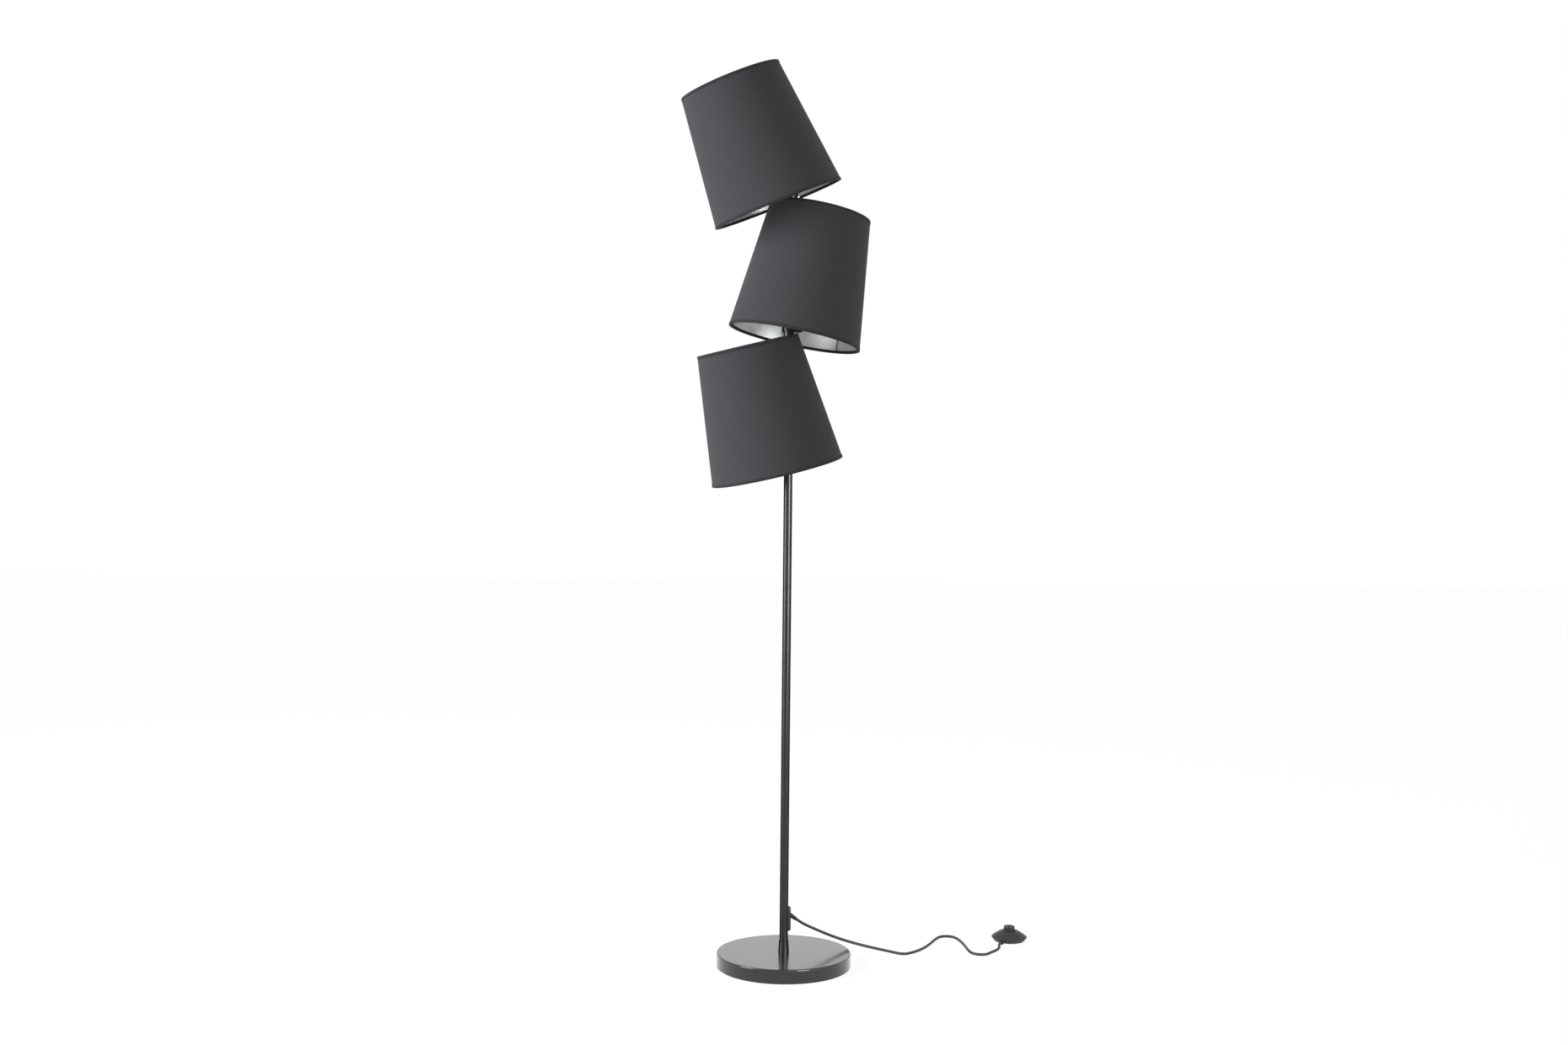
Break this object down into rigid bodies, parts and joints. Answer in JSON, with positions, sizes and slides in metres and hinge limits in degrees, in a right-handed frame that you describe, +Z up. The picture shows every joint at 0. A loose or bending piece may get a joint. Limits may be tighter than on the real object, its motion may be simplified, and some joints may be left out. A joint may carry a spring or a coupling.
{
  "type": "floor lamp",
  "caption": "Floor lamp with a round weighted base and one straight pole that carries tilting fabric drum shades, with a cord and a foot switch.",
  "frame": {"origin": "centre of the base's underside, on the floor", "axes": "+Z up the pole, +X towards the side the cord leaves from, +Y away from the viewer of the picture"},
  "size_m": [0.684, 0.3693, 1.6736],
  "materials": {
    "black_metal": "satin black powder coat",
    "base_metal": "polished black",
    "ballast": "rough cast",
    "steel": "bright zinc plated",
    "pad": "soft non-slip",
    "black_plastic": "satin moulded",
    "knob_plastic": "knurled",
    "white_wire": "white coated wire",
    "contacts": "formed sheet",
    "spring": "spring steel",
    "cord_sheath": "smooth flexible sheath",
    "lead_insulation": "smooth",
    "shade_fabric": "fine plain weave",
    "shade_liner": "light silvery lining",
    "shade_hem": "folded band"
  },
  "bodies": {
    "stand": {"base_cover": "base_metal", "base_weight": "ballast", "base_pad": "pad", "base_washer": "steel", "base_nut": "steel", "base_stud": "steel", "pole_foot": "black_metal", "pole_lower": "black_metal", "pole_upper": "black_metal", "pole_coupler": "steel", "pole_cap": "black_plastic", "inner_leads": "lead_insulation", "cord_guide": "black_plastic", "cord": "cord_sheath", "switch_cover": "black_plastic", "switch_plate": "black_plastic", "switch_spring": "spring", "switch_contacts": "contacts", "switch_screws": "steel"},
    "button": {"switch_button": "black_plastic"},
    "lower_swivel": {"lower_collar": "black_metal", "lower_collar_screws": "steel", "lower_tilt_knob": "knob_plastic"},
    "lower_shade": {"lower_holder_arm": "black_metal", "lower_holder_cup": "black_plastic", "lower_holder_core": "black_plastic", "lower_lamp_contacts": "contacts", "lower_fixing_ring": "black_plastic", "lower_carrier": "white_wire", "lower_hoops": "white_wire", "lower_hems": "shade_hem", "lower_fabric": "shade_fabric", "lower_liner": "shade_liner"},
    "middle_swivel": {"middle_collar": "black_metal", "middle_collar_screws": "steel", "middle_tilt_knob": "knob_plastic"},
    "middle_shade": {"middle_holder_arm": "black_metal", "middle_holder_cup": "black_plastic", "middle_holder_core": "black_plastic", "middle_lamp_contacts": "contacts", "middle_fixing_ring": "black_plastic", "middle_carrier": "white_wire", "middle_hoops": "white_wire", "middle_hems": "shade_hem", "middle_fabric": "shade_fabric", "middle_liner": "shade_liner"},
    "upper_swivel": {"upper_collar": "black_metal", "upper_collar_screws": "steel", "upper_tilt_knob": "knob_plastic"},
    "upper_shade": {"upper_holder_arm": "black_metal", "upper_holder_cup": "black_plastic", "upper_holder_core": "black_plastic", "upper_lamp_contacts": "contacts", "upper_fixing_ring": "black_plastic", "upper_carrier": "white_wire", "upper_hoops": "white_wire", "upper_hems": "shade_hem", "upper_fabric": "shade_fabric", "upper_liner": "shade_liner"}
  },
  "joints": [
    {"name": "lower_swivel", "type": "hinge", "parent": "stand", "child": "lower_swivel", "pos_m": [0, 0, 0.94264], "axis": [0, 0, 1], "range_deg": [-10, 10]},
    {"name": "lower_tilt", "type": "hinge", "parent": "lower_swivel", "child": "lower_shade", "pos_m": [-0.02553, 0.01183, 0.94264], "axis": [0.373, -0.9278, 0], "range_deg": [-8, 0]},
    {"name": "middle_swivel", "type": "hinge", "parent": "stand", "child": "middle_swivel", "pos_m": [0, 0, 1.19235], "axis": [0, 0, 1], "range_deg": [-10, 10]},
    {"name": "middle_tilt", "type": "hinge", "parent": "middle_swivel", "child": "middle_shade", "pos_m": [0.01331, 0.02408, 1.19235], "axis": [-0.2233, 0.9748, 0], "range_deg": [-6, 3]},
    {"name": "upper_swivel", "type": "hinge", "parent": "stand", "child": "upper_swivel", "pos_m": [0, 0, 1.44549], "axis": [0, 0, 1], "range_deg": [-10, 10]},
    {"name": "upper_tilt", "type": "hinge", "parent": "upper_swivel", "child": "upper_shade", "pos_m": [-0.03577, -0.01033, 1.44549], "axis": [0.2773, -0.9608, 0], "range_deg": [-8, 6]},
    {"name": "button_press", "type": "slide", "parent": "stand", "child": "button", "axis": [0, 0, -1], "range_m": [0, 0.004], "stiffness_N_per_m": 600, "springref_m": -0.004, "deforming": ["switch_spring"]}
  ]
}
